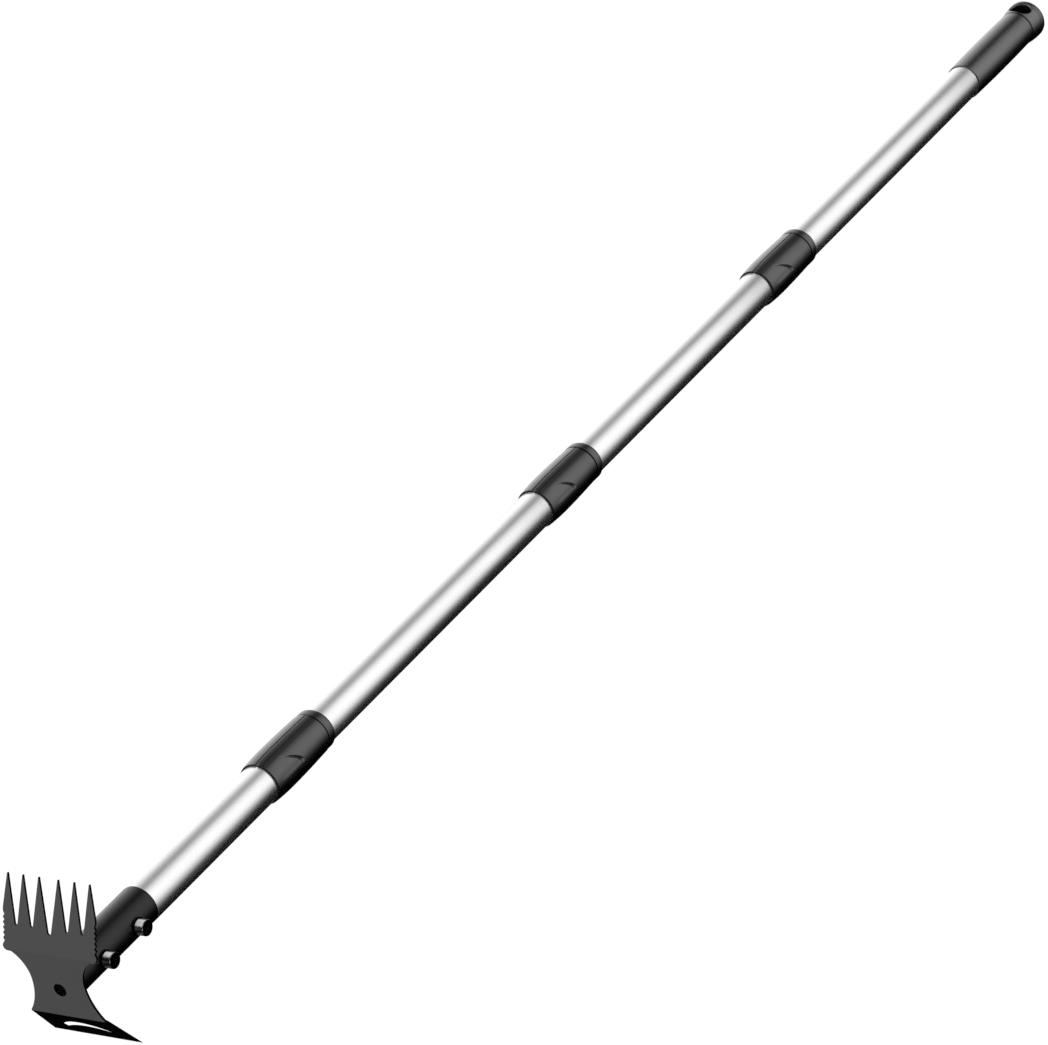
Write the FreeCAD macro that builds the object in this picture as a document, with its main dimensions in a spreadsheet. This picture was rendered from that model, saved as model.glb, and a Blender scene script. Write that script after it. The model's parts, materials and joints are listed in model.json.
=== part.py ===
"""Stand up weeder: a rake and hoe head on a screw-together sectional pole.

Every piece is drawn about the pole's own axis: X runs from the head to the grip, Z is the side
that the tines point to, and x = 0 is the front face of the blade's neck. One placement then lays
the whole tool on the ground, on the hoe's cutting edge and the rim of the grip's end cap.
"""
import FreeCAD, Part
import math
import os
import Sketcher

V = FreeCAD.Vector
HAIR = 0.001                     # keeps two outlines that would share a point apart

# Driving dimensions, in millimetres and degrees.
SIZES = {
    # blade: three flats of one steel sheet
    "sheet": 2.0,                # thickness of the blade's steel
    "rake_bend": 26.4,           # pole axis up to the bend below the tines
    "hoe_bend": 27.0,            # pole axis down to the bend above the hoe
    "rake_lean": 22.5,           # the tines lean back towards the grip
    "hoe_lean": 35.3,            # the hoe turns back towards the grip
    "tine_top": 57.2,            # rake bend to the tine tips
    "tine_flat": 0.2,            # half width of a tine's tip
    "tip_outer": 37.45, "tip_middle": 23.4, "tip_inner": 8.8,
    "notch_outer": 30.35, "notch_inner": 16.1,
    "notch_floor": 18.9, "notch_radius": 1.4,
    "gap_floor": 15.3, "gap_radius": 1.9,   # the wide notch in the middle
    "side_crest": 42.6, "side_root": 41.1,  # saw teeth on both sides of the rake
    "tooth_first": 8.2, "tooth_pitch": 3.9,
    "shoulder": 42.3, "shoulder_low": 28.5, "shoulder_high": 31.0,
    "waist": 24.0, "waist_height": 2.0, "waist_upper_radius": 28.0,
    "waist_upper_middle": 27.0, "waist_upper_end": 55.0,    # angles along the upper arc
    "waist_low_out": 2.35, "waist_low_drop": 14.5,          # middle of the lower arc
    "armpit_out": 15.7, "armpit_drop": 1.2, "root_out": 0.7,
    "hoe_top": 34.1, "hoe_edge": 40.4, "hoe_depth": 41.8,
    "grind_start": 3.0, "edge_land": 0.4,   # the hoe thins from its bend to its cutting edge
    "slot_crown": 14.4, "slot_belly": 24.9,     # bend to the slot's two bows, in the middle
    "slot_half": 22.4, "slot_shoulder": 27.0, "slot_heel": 20.8, "slot_foot": 31.0,
    "neck_hole": 5.5, "neck_hole_drop": 4.0,
    # socket and its clamp screws
    "lower_radius": 16.5, "lower_wall": 1.5,
    "socket_top": 105.9,
    "weld_leg": 4.0,
    "spigot_start": 6.0, "spigot_end": 165.0, "spigot_bore": 11.5,
    "screw_low": 38.0, "screw_high": 80.6,
    "screw_radius": 4.0, "screw_tip": 9.0, "screw_clearance": 4.4,
    "screw_seat": 17.2, "head_radius": 6.4, "head_height": 8.0,
    "hex_radius": 3.46, "hex_depth": 4.0,
    "saddle_radius": 7.2,
    # pole sections and couplings
    "tube_radius": 16.0, "tube_wall": 1.2,
    "coupling_low": 271.0, "coupling_middle": 690.3, "coupling_high": 1072.8,
    "collar_length": 71.8, "collar_seat": 47.0,
    "collar_lip": 1.5, "collar_belly": 2.5, "collar_tail": 1.4,   # height above the lower tube
    "collar_brow_at": 10.0, "collar_belly_at": 27.0, "collar_flank_at": 53.0,   # from its start
    "collar_bow": 0.68,          # how far the skin's curves bow out between those places
    "collar_step": 0.45, "collar_lobe": 34.0, "wedge_reach": 20.0, "wedge_lead": 5.0,
    "washer": 1.0, "washer_radius": 17.4,
    "bush_radius": 15.5, "bush_bore": 12.3, "bush_spigot": 25.0,
    "ring_radius": 17.6, "ring_length": 8.5, "ring_bevel": 2.0, "ring_seat": 3.5,
    "ring_lip": 0.5,             # thickness of the ring's thin end
    "thread_radius": 12.0, "thread_length": 28.0,
    "plug_bore": 7.0, "plug_depth": 32.0,
    "fit_gap": 0.05,             # between pieces that are glued, pressed or bolted together
    # grip
    "grip_start": 1480.2, "grip_seam": 1593.2, "pole_end": 1618.0,
    "grip_low_radius": 17.0, "grip_mid_radius": 17.65, "grip_neck_radius": 17.15,
    "grip_swell_at": 60.0,       # from its start to its thickest place
    "cap_rim_radius": 18.9, "cap_rim_width": 5.0,   # the rim rounds over to the flat end
    "cap_round_in": 1.89, "cap_round_drop": 1.03,           # middle of that rounding
    "cap_flare_at": 9.0, "cap_flare_drop": 0.45,            # middle of the flare up to the rim
    "cap_face_radius": 15.2, "cap_plug_depth": 20.0,
    "hang_hole": 8.1, "hang_hole_at": 1603.0, "hang_hole_turn": 14.8,
}

doc = FreeCAD.newDocument("stand_up_weeder")
sheet = doc.addObject("Spreadsheet::Sheet", "size")
for row, (alias, number) in enumerate(SIZES.items(), start=1):
    sheet.set(f"A{row}", alias)
    sheet.set(f"B{row}", str(number))
    sheet.setAlias(f"B{row}", alias)
doc.recompute()


class Dim:
    """A length that carries its number and the spreadsheet expression that gives it."""

    def __init__(self, number, text):
        self.number = number
        self.text = text

    def __add__(self, other):
        other = dim(other)
        return Dim(self.number + other.number, f"({self.text} + {other.text})")

    def __sub__(self, other):
        other = dim(other)
        return Dim(self.number - other.number, f"({self.text} - {other.text})")

    def __mul__(self, factor):
        return Dim(self.number * factor, f"({self.text} * {factor})")

    def __neg__(self):
        return self * -1


def dim(value):
    """A name in the sheet, a plain number or a Dim, as a Dim."""
    if isinstance(value, Dim):
        return value
    if isinstance(value, str):
        return Dim(sheet.get(value), f"size.{value}")
    return Dim(float(value), str(float(value)))


def bind(thing, **values):
    """Set properties from the sheet and keep them tied to it."""
    for name, value in values.items():
        setattr(thing, name, dim(value).number)
        thing.setExpression(name, dim(value).text)


def pin(sketch, edge, end, point):
    """Tie one end of a sketch edge to a point given in sheet dimensions."""
    for kind, value in zip(("DistanceX", "DistanceY"), point):
        value = dim(value)
        index = sketch.addConstraint(Sketcher.Constraint(kind, -1, 1, edge, end, value.number))
        sketch.setExpression(f"Constraints[{index}]", value.text)


def draw(sketch, outline):
    """Draw a closed outline of (u, v) corners. A corner given as (u, v, mid_u, mid_v) is
    reached by an arc through the middle point, and the others by a straight edge."""
    corners = [tuple(dim(value) for value in corner) for corner in outline]
    for before, corner in zip(corners[-1:] + corners[:-1], corners):
        start = V(before[0].number, before[1].number, 0)
        end = V(corner[0].number, corner[1].number, 0)
        ends = (before[:2], corner[:2])
        if len(corner) == 2:
            edge = sketch.addGeometry(Part.LineSegment(start, end), False)
        else:
            middle = V(corner[2].number, corner[3].number, 0)
            arc = Part.ArcOfCircle(start, middle, end)
            edge = sketch.addGeometry(arc, False)
            if (sketch.getPoint(edge, 1) - start).Length > 1e-6:
                ends = ends[::-1]
            chord = end - start
            kind, value = ("DistanceX", arc.Center.x)
            if abs(chord.x) > abs(chord.y):
                kind, value = ("DistanceY", arc.Center.y)
            sketch.addConstraint(Sketcher.Constraint(kind, -1, 1, edge, 3, value))
        pin(sketch, edge, 1, ends[0])
        pin(sketch, edge, 2, ends[1])


def new_body(label):
    body = doc.addObject("PartDesign::Body", label)
    body.Label = label
    return body


def new_sketch(body, name, role, outline):
    """A sketch on one of the body's own origin planes."""
    sketch = body.newObject("Sketcher::SketchObject", name)
    plane = next(item for item in body.Origin.OriginFeatures if item.Role == role)
    sketch.AttachmentSupport = [(plane, "")]
    sketch.MapMode = "FlatFace"
    draw(sketch, outline)
    return sketch


def turned(label, outline):
    """A body turned about the pole's axis from an outline of (x, radius) corners."""
    body = new_body(label)
    sketch = new_sketch(body, f"{label}_profile", "XZ_Plane", outline)
    turn = body.newObject("PartDesign::Revolution", f"{label}_turn")
    turn.Profile = sketch
    turn.ReferenceAxis = (sketch, ["H_Axis"])
    turn.Angle = 360.0
    return body


def tube(label, start, end, outer, wall):
    """A plain tube from start to end."""
    start, end, outer = dim(start), dim(end), dim(outer)
    inner = outer - wall
    return turned(label, [(start, inner), (end, inner), (end, outer), (start, outer)])


def rod(name, radius, start, end, axis, centre):
    """A plain cylinder used as a cutter. Axis is a unit vector and start and end lie along it."""
    cutter = doc.addObject("Part::Cylinder", name)
    bind(cutter, Radius=radius, Height=dim(end) - start)
    turn = FreeCAD.Rotation(V(0, 0, 1), axis)
    cutter.Placement = FreeCAD.Placement(centre + axis * dim(start).number, turn)
    return cutter


def cut(label, base, *cutters):
    """Base with the cutters taken away, under its own label."""
    base.Label = f"{label}_blank"
    for index, cutter in enumerate(cutters, start=1):
        step = doc.addObject("Part::Cut", f"{label}_cut{index}")
        step.Base = base
        step.Tool = cutter
        base = step
    base.Label = label
    return base


def mirrored(half):
    """The right half of an outline, listed from the middle up, with its mirror image."""
    other = []
    for index in range(len(half) - 1, -1, -1):
        corner = half[index]
        following = half[index + 1] if index + 1 < len(half) else ()
        if len(following) == 4:
            other.append((-dim(corner[0]), corner[1], -dim(following[2]), following[3]))
        else:
            other.append((-dim(corner[0]), corner[1]))
    return list(half) + other


# Blade: neck, rake and hoe are pads of one sheet that meet along two bends.
def neck_outline():
    waist, height = dim("waist"), dim("waist_height")
    upper = dim("waist_upper_radius")
    bow = {name: (math.cos(math.radians(angle)), math.sin(math.radians(angle)))
           for name, angle in (("middle", sheet.get("waist_upper_middle")),
                               ("end", sheet.get("waist_upper_end")))}
    upper_arc = {name: (waist + upper * (1 - c), height + upper * s) for name, (c, s) in bow.items()}
    lower_middle = (waist + "waist_low_out", height - "waist_low_drop")
    return mirrored([
        ("hoe_top", -dim("hoe_bend")),
        (waist, height) + lower_middle,
        upper_arc["end"] + upper_arc["middle"],
        (waist + "armpit_out", dim("rake_bend") - "armpit_drop"),
        (dim("side_root") + "root_out", "rake_bend"),
    ])


def notch(middle, floor, radius):
    """The two lower corners of a round-bottomed notch, from its outer side to its inner side."""
    middle, floor, radius = dim(middle), dim(floor), dim(radius)
    return [(middle + radius, floor + radius),
            (middle - radius, floor + radius, middle, floor)]


def tine(middle):
    """A tine's tip, from its outer corner to its inner corner."""
    middle = dim(middle)
    return [(middle + "tine_flat", "tine_top"), (middle - "tine_flat", "tine_top")]


def rake_outline():
    half = [
        (dim("side_root") + 0.7, 0.0),
        (dim("side_crest") + 0.3, 1.9),
        (dim("side_crest") + 0.3, 3.6),
        ("side_root", dim("tooth_first") - dim("tooth_pitch") * 0.5),
    ]
    for number in range(5):
        crest = dim("tooth_first") + dim("tooth_pitch") * number
        half.append(("side_crest", crest))
        half.append(("side_root", crest + dim("tooth_pitch") * 0.5))
    half.append(("shoulder", "shoulder_low"))
    half.append(("shoulder", "shoulder_high"))
    half += tine("tip_outer")
    half += notch("notch_outer", "notch_floor", "notch_radius")
    half += tine("tip_middle")
    half += notch("notch_inner", "notch_floor", "notch_radius")
    half += tine("tip_inner")
    floor = dim("gap_floor") + "gap_radius"
    half.append(("gap_radius", floor))
    outline = mirrored(half)
    # the middle notch's floor joins the two halves with one arc
    join = len(half)
    outline[join] = (-dim("gap_radius"), floor, dim(0.0), dim("gap_floor"))
    return outline


def hoe_outline():
    return mirrored([("hoe_edge", -dim("hoe_depth")), ("hoe_top", 0.0)])


def slot_outline():
    """The weed slot: two bows joined by short slanted ends."""
    half, shoulder = dim("slot_half"), -dim("slot_shoulder")
    heel, foot = dim("slot_heel"), -dim("slot_foot")
    return [(half, shoulder),
            (-half, shoulder, 0.0, -dim("slot_crown")),
            (-heel, foot),
            (heel, foot, 0.0, -dim("slot_belly"))]


def grind_outline():
    """The sliver taken off the hoe's inner side, as (depth into the sheet, distance up)."""
    land, edge, clear = dim("edge_land"), -dim("hoe_depth"), dim("sheet") + 1
    return [("sheet", -dim("grind_start")), (land, edge), (land, edge - 1), (clear, edge - 1),
            (clear, -dim("grind_start"))]


def make_blade():
    body = new_body("rake_hoe_blade")
    flats = (("neck", neck_outline(), 0.0, 0.0),
             ("rake", rake_outline(), "rake_bend", "rake_lean"),
             ("hoe", hoe_outline(), -dim("hoe_bend"), -dim("hoe_lean")))
    for name, outline, height, lean in flats:
        sketch = new_sketch(body, f"{name}_outline", "YZ_Plane", outline)
        height, lean = dim(height), dim(lean)
        sketch.AttachmentOffset = FreeCAD.Placement(
            V(0, height.number, 0), FreeCAD.Rotation(V(1, 0, 0), lean.number))
        sketch.setExpression("AttachmentOffset.Base.y", height.text)
        sketch.setExpression("AttachmentOffset.Rotation.Angle", lean.text)
        if name == "hoe":
            draw(sketch, slot_outline())
        if name == "neck":
            centre = (dim(0.0), -dim("neck_hole_drop"))
            hole = sketch.addGeometry(
                Part.Circle(V(0, centre[1].number, 0), V(0, 0, 1), sheet.get("neck_hole")), False)
            pin(sketch, hole, 3, centre)
            radius = sketch.addConstraint(Sketcher.Constraint("Radius", hole, sheet.get("neck_hole")))
            sketch.setExpression(f"Constraints[{radius}]", "size.neck_hole")
        pad = body.newObject("PartDesign::Pad", f"{name}_flat")
        pad.Profile = sketch
        bind(pad, Length="sheet")
    sketch = new_sketch(body, "grind_outline", "XZ_Plane", grind_outline())
    sketch.AttachmentOffset = FreeCAD.Placement(
        V(0, -sheet.get("hoe_bend"), 0), FreeCAD.Rotation(V(0, 0, 1), sheet.get("hoe_lean")))
    sketch.setExpression("AttachmentOffset.Base.y", "-size.hoe_bend")
    sketch.setExpression("AttachmentOffset.Rotation.Angle", "size.hoe_lean")
    grind = body.newObject("PartDesign::Pocket", "hoe_grind")
    grind.Profile = sketch
    grind.Midplane = True
    bind(grind, Length=dim("hoe_edge") * 2 + 10)
    return body


def make_socket():
    """The socket, the spigot inside it, its weld and its two clamp screws."""
    bore = dim("lower_radius") - "lower_wall"
    socket = tube("handle_socket_tube", "sheet", "socket_top", "lower_radius", "lower_wall")
    inner = tube("socket_spigot_tube", "spigot_start", "spigot_end", bore - "fit_gap",
                 bore - "fit_gap" - "spigot_bore")
    foot = dim("sheet")
    weld = turned("socket_weld", [(foot, "lower_radius"), (foot + "weld_leg", "lower_radius"),
                                  (foot, dim("lower_radius") + "weld_leg")])
    made = [weld]
    side = V(0, -1, 0)
    socket_holes = []
    spigot_holes = []
    for name, place in (("lower", "screw_low"), ("upper", "screw_high")):
        centre = V(sheet.get(place), 0, 0)
        socket_holes.append(rod(f"{name}_clearance", "screw_clearance", 8.0, 20.0, side, centre))
        spigot_holes.append(
            rod(f"{name}_tapping", dim("screw_radius") + "fit_gap", 8.0, 20.0, side, centre))
        made.append(make_screw(name, centre, side))
        made.append(make_saddle(name, centre, side))
    made.append(cut("handle_socket", socket, *socket_holes))
    made.append(cut("socket_spigot", inner, *spigot_holes))
    return made


def make_screw(name, centre, side):
    """A cap screw with a hexagon recess, its head outside the socket."""
    shank = rod(f"{name}_shank", "screw_radius", "screw_tip", "screw_seat", side, centre)
    top = dim("screw_seat") + "head_height"
    head = rod(f"{name}_head", "head_radius", "screw_seat", top, side, centre)
    key = doc.addObject("Part::Prism", f"{name}_key")
    key.Polygon = 6
    bind(key, Circumradius="hex_radius", Height=dim("hex_depth") + 1)
    floor = centre + side * (top - "hex_depth").number
    key.Placement = FreeCAD.Placement(floor, FreeCAD.Rotation(V(0, 0, 1), side))
    joined = doc.addObject("Part::Fuse", f"{name}_screw_blank")
    joined.Base = shank
    joined.Tool = head
    return cut(f"clamp_bolt_{name}", joined, key)


def make_saddle(name, centre, side):
    """A washer whose underside fits the round socket."""
    block = rod(f"{name}_saddle", "saddle_radius", "screw_tip", "screw_seat", side, centre)
    hole = rod(f"{name}_saddle_hole", "screw_clearance", 0.0, 30.0, side, centre)
    pole = rod(f"{name}_saddle_seat", "lower_radius", -20.0, 20.0, V(1, 0, 0), centre)
    return cut(f"saddle_washer_{name}", block, pole, hole)


def collar_skin(start, radius, drop):
    """The collar's outer curve from its tail to its lip, lowered by drop."""
    base = dim(radius) - drop
    lip, belly, tail = base + "collar_lip", base + "collar_belly", base + "collar_tail"
    return [
        (start + "collar_length", tail),
        (start + "collar_belly_at", belly, start + "collar_flank_at", tail + "collar_bow"),
        (start, lip, start + "collar_brow_at", lip + "collar_bow"),
    ]


def make_coupling(number, start, lower, wall):
    """A collar glued on the lower tube with a threaded bush in it, and the washer and the
    threaded plug that belong to the tube above."""
    start, lower = dim(start), dim(lower)
    gap = dim("fit_gap")
    seat = start + "collar_seat"
    tail = start + "collar_length"

    # collar: the swept step is left where two wedges trim the skin on both sides
    shell = turned(f"collar_{number}_shell", collar_skin(start, lower, 0.0) + [
        (start, lower + gap), (seat, lower + gap), (seat, dim("bush_radius") + gap),
        (tail, dim("bush_radius") + gap)])
    core = turned(f"collar_{number}_core", collar_skin(start, lower, "collar_step") + [
        (start, 0.0), (tail, 0.0)])
    wedge = new_body(f"collar_{number}_wedge")
    reach = dim("wedge_reach")
    slope = reach.number / (lower + "collar_belly").number
    lobe = start + dim("collar_lobe") * slope
    lead = start - "wedge_lead"
    outline = new_sketch(wedge, f"collar_{number}_wedge_outline", "XY_Plane", [
        (start, 0.0), (lead, 0.0), (lead, reach), (lobe, reach)])
    draw(outline, [(lead, -HAIR), (start, -HAIR), (lobe, -reach), (lead, -reach)])
    pad = wedge.newObject("PartDesign::Pad", f"collar_{number}_wedge_pad")
    pad.Profile = outline
    bind(pad, Length=reach * 3)
    pad.Midplane = True
    trim = cut(f"collar_{number}_trim", wedge, core)
    collar = cut(f"collar_{number}", shell, trim)

    spigot = lower - wall - gap
    bush = turned(f"thread_bush_{number}", [
        (start + "bush_spigot", "bush_bore"), (tail - gap, "bush_bore"),
        (tail - gap, "bush_radius"), (seat + gap, "bush_radius"),
        (seat + gap, spigot), (start + "bush_spigot", spigot)])
    washer = tube(f"thread_washer_{number}", tail + gap, tail + "washer" - gap,
                  "washer_radius", dim("washer_radius") - "bush_bore")

    ring = tail + "washer"
    top = ring + "ring_length"
    deep = ring + "ring_seat"
    skirt = dim("tube_radius") + gap
    shank = dim("tube_radius") - "tube_wall" - gap
    plug = turned(f"thread_plug_{number}", [
        (ring - "thread_length", "plug_bore"), (ring + "plug_depth", "plug_bore"),
        (ring + "plug_depth", shank), (deep, shank), (deep, skirt), (top, skirt),
        (top, skirt + "ring_lip"), (top - "ring_bevel", "ring_radius"), (ring, "ring_radius"),
        (ring, "thread_radius"), (ring - "thread_length", "thread_radius")])
    return [collar, bush, washer, plug]


def make_grip():
    """The grip sleeve and the end cap with its hang hole."""
    start, seam, end = dim("grip_start"), dim("grip_seam"), dim("pole_end")
    gap = dim("fit_gap")
    bore = dim("tube_radius") + gap
    sleeve = turned("grip_sleeve", [
        (start, bore), (seam, bore), (seam, "grip_neck_radius"),
        (start, "grip_low_radius", start + "grip_swell_at", "grip_mid_radius")])
    plug = dim("tube_radius") - "tube_wall" - gap
    rim = dim("cap_rim_radius")
    face = dim("cap_face_radius")
    cap = turned("end_cap_blank", [
        (seam - "cap_plug_depth", 0.0), (end, 0.0), (end, face),
        (end - "cap_rim_width", rim, end - "cap_round_in", rim - "cap_round_drop"),
        (seam, "grip_neck_radius", seam + "cap_flare_at", rim - "cap_flare_drop"),
        (seam, plug), (seam - "cap_plug_depth", plug)])
    turn = math.radians(sheet.get("hang_hole_turn"))
    across = V(0, -math.sin(turn), math.cos(turn))
    hole = rod("hang_hole", "hang_hole", -30.0, 30.0, across, V(sheet.get("hang_hole_at"), 0, 0))
    return [sleeve, cut("grip_end_cap", cap, hole)]


starts = [dim("coupling_low"), dim("coupling_middle"), dim("coupling_high")]
seats = [start + "collar_seat" - "fit_gap" for start in starts]
feet = [start + "collar_length" + "washer" + "ring_seat" + "fit_gap" for start in starts]

pieces = [make_blade()] + make_socket()
pieces.append(tube("lower_tube", "socket_top", seats[0], "lower_radius", "lower_wall"))
pieces += make_coupling(1, starts[0], "lower_radius", "lower_wall")
pieces.append(tube("tube_2", feet[0], seats[1], "tube_radius", "tube_wall"))
pieces += make_coupling(2, starts[1], "tube_radius", "tube_wall")
pieces.append(tube("tube_3", feet[1], seats[2], "tube_radius", "tube_wall"))
pieces += make_coupling(3, starts[2], "tube_radius", "tube_wall")
pieces.append(tube("upper_tube", feet[2], dim("grip_seam") - "fit_gap", "tube_radius", "tube_wall"))
pieces += make_grip()
doc.recompute()

# Lay the tool down: the hoe's cutting edge and the cap's rim touch the ground.
lean = math.radians(sheet.get("hoe_lean"))
edge = V(sheet.get("hoe_depth") * math.sin(lean), 0,
         -sheet.get("hoe_bend") - sheet.get("hoe_depth") * math.cos(lean))
rim = V(sheet.get("pole_end") - sheet.get("cap_rim_width"), 0, -sheet.get("cap_rim_radius"))
tilt = FreeCAD.Rotation(V(0, 1, 0), math.degrees(math.atan2(rim.z - edge.z, rim.x - edge.x)))
laid = FreeCAD.Placement(V(0, 0, 0), tilt)
box = FreeCAD.BoundBox()
for piece in pieces:
    shape = piece.Shape.copy()
    shape.Placement = laid.multiply(shape.Placement)
    box.add(shape.optimalBoundingBox(False, False))
laid.Base = V(-box.Center.x, 0, -box.ZMin)
for piece in pieces:
    piece.Placement = laid
doc.recompute()

for item in doc.Objects:
    if "Invalid" in item.State or "Error" in item.State:
        raise RuntimeError(f"{item.Label}: {item.State}")
os.makedirs("parts", exist_ok=True)
for piece in pieces:
    shape = piece.Shape
    if shape.isNull() or not shape.isValid() or shape.Volume <= 0 or len(shape.Solids) != 1:
        raise RuntimeError(f"{piece.Label}: not one sound solid")
    shape.exportStep(f"parts/{piece.Label}.step")
print(len(pieces), "pieces,", f"placed at {laid.Base} and turned {laid.Rotation.getYawPitchRoll()}")
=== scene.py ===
"""Looks of the stand up weeder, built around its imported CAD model.

Shapes are drawn in millimetres along the pole's own axes: x runs from the blade's neck to the
grip, z is the side that the tines point to, and angles about the pole start at z and turn
towards the side that the clamp screws are on.
"""

import json
import math

import bmesh
import bpy
from mathutils import Matrix, Vector


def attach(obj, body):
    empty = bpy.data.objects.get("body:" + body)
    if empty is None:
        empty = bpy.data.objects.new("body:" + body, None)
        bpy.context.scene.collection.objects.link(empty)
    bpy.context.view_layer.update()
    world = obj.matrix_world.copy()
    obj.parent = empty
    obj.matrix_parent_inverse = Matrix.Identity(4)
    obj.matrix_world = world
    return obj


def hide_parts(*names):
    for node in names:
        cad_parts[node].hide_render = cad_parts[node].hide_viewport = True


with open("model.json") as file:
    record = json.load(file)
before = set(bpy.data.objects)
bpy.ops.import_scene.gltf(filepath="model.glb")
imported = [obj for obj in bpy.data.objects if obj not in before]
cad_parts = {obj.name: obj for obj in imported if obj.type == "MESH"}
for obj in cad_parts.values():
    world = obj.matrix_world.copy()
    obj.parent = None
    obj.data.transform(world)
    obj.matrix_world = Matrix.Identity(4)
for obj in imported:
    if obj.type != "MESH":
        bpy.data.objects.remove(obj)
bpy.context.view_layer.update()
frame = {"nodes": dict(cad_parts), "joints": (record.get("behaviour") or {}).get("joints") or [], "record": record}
record = frame["record"]
MM = 0.001
TAU = 2 * math.pi

# The pole's axes in the frame. NECK is where the pole's axis meets the front of the blade.
joints = {joint["name"]: joint for joint in frame["joints"]}
ALONG = Vector(joints["coupling_1_turn"]["axis"]).normalized()
LEFT = Vector((0, 1, 0))
UP = ALONG.cross(LEFT)
NECK_TO_FIRST_TURN = 343.3    # from the neck to the first coupling's joint
NECK = Vector(joints["coupling_1_turn"]["pos_m"]) - ALONG * NECK_TO_FIRST_TURN * MM
POLE_AXES = Matrix((ALONG, LEFT, UP)).transposed().to_4x4()
POLE = Matrix.Translation(NECK) @ POLE_AXES @ Matrix.Scale(MM, 4)
FROM_WORLD = POLE.inverted()

BODY_OF = {node: body for body, nodes in record["behaviour"]["bodies"].items() for node in nodes}
SLOT_OF = {subpart["node"]: subpart["material_slot"] for subpart in record["subparts"]}


def measure(node):
    """A node's start and end along the pole, and its smallest and largest radius about it."""
    points = [FROM_WORLD @ vertex.co for vertex in frame["nodes"][node].data.vertices]
    along = [point.x for point in points]
    radii = [math.hypot(point.y, point.z) for point in points]
    return min(along), max(along), min(radii), max(radii)


# ---------------------------------------------------------------- shader helpers
class Shader:
    """A small builder for one node material."""

    def __init__(self, name, **values):
        self.material = bpy.data.materials.new(name)
        self.material.use_nodes = True
        self.nodes = self.material.node_tree.nodes
        self.links = self.material.node_tree.links
        self.bsdf = self.nodes["Principled BSDF"]
        self.place = self.node("ShaderNodeTexCoord").outputs["Object"]
        for socket, value in values.items():
            self.bsdf.inputs[socket.replace("_", " ")].default_value = value

    def node(self, kind, **settings):
        """Add a node with some of its properties set."""
        made = self.nodes.new(kind)
        for name, value in settings.items():
            setattr(made, name, value)
        return made

    def link(self, source, target):
        """Connect an output to an input."""
        self.links.new(source, target)

    def stretched(self, factors):
        """Position with each axis scaled, so that grain follows the pole."""
        scale = self.node("ShaderNodeVectorMath", operation="MULTIPLY")
        scale.inputs[1].default_value = factors
        self.link(self.place, scale.inputs[0])
        return scale.outputs["Vector"]

    def noise(self, scale, detail=2.0, rough=0.5, place=None):
        """Noise with a scale in cycles per metre."""
        noise = self.node("ShaderNodeTexNoise")
        noise.inputs["Scale"].default_value = scale
        noise.inputs["Detail"].default_value = detail
        noise.inputs["Roughness"].default_value = rough
        self.link(place or self.place, noise.inputs["Vector"])
        return noise.outputs["Fac"]

    def ramp(self, factor, low, high, low_at=0.3, high_at=0.7):
        """A value that runs smoothly from low to high as factor runs between two places."""
        ranged = self.node("ShaderNodeMapRange", interpolation_type="SMOOTHSTEP")
        ends = (("From Min", low_at), ("From Max", high_at), ("To Min", low), ("To Max", high))
        for name, value in ends:
            ranged.inputs[name].default_value = value
        self.link(factor, ranged.inputs["Value"])
        return ranged.outputs["Result"]

    def mix(self, factor, low, high):
        """A colour between two colours. Either may be an output of another node."""
        mixed = self.node("ShaderNodeMix", data_type="RGBA")
        self.link(factor, mixed.inputs[0])
        for socket, colour in ((mixed.inputs[6], low), (mixed.inputs[7], high)):
            if isinstance(colour, tuple):
                socket.default_value = (*colour, 1.0)
            else:
                self.link(colour, socket)
        return mixed.outputs[2]

    def worn_edges(self, radius, low, high):
        """1 on convex edges within radius and 0 elsewhere."""
        bevel = self.node("ShaderNodeBevel", samples=4)
        bevel.inputs["Radius"].default_value = radius
        geometry = self.node("ShaderNodeNewGeometry")
        dot = self.node("ShaderNodeVectorMath", operation="DOT_PRODUCT")
        self.link(bevel.outputs["Normal"], dot.inputs[0])
        self.link(geometry.outputs["Normal"], dot.inputs[1])
        return self.ramp(dot.outputs["Value"], 1.0, 0.0, low, high)

    def bump(self, height, distance, strength=1.0):
        """Raise the surface by height times distance, in metres."""
        bump = self.node("ShaderNodeBump")
        bump.inputs["Distance"].default_value = distance
        bump.inputs["Strength"].default_value = strength
        self.link(height, bump.inputs["Height"])
        self.link(bump.outputs["Normal"], self.bsdf.inputs["Normal"])

    def colour(self, output):
        """Use an output as the base colour."""
        self.link(output, self.bsdf.inputs["Base Color"])

    def roughness(self, output):
        """Use an output as the roughness."""
        self.link(output, self.bsdf.inputs["Roughness"])


def grey(value, warmth=0.0):
    """A grey with a little more red, and half as much more blue, where warmth is given."""
    return (value * (1 + warmth), value, value * (1 + warmth * 0.5))


def satin_tube():
    """Drawn metal tube with a satin finish and fine grain along its length."""
    shader = Shader("satin_tube", Metallic=0.88)
    grain = shader.noise(900.0, 3.0, 0.6, shader.stretched((0.02, 1.0, 1.0)))
    cloud = shader.noise(14.0, 2.0, 0.5)
    shader.colour(shader.mix(shader.ramp(cloud, 0.0, 1.0), grey(0.53), grey(0.55)))
    shader.roughness(shader.ramp(grain, 0.23, 0.29))
    shader.bump(grain, 0.000008, 0.3)
    return shader.material


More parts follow.
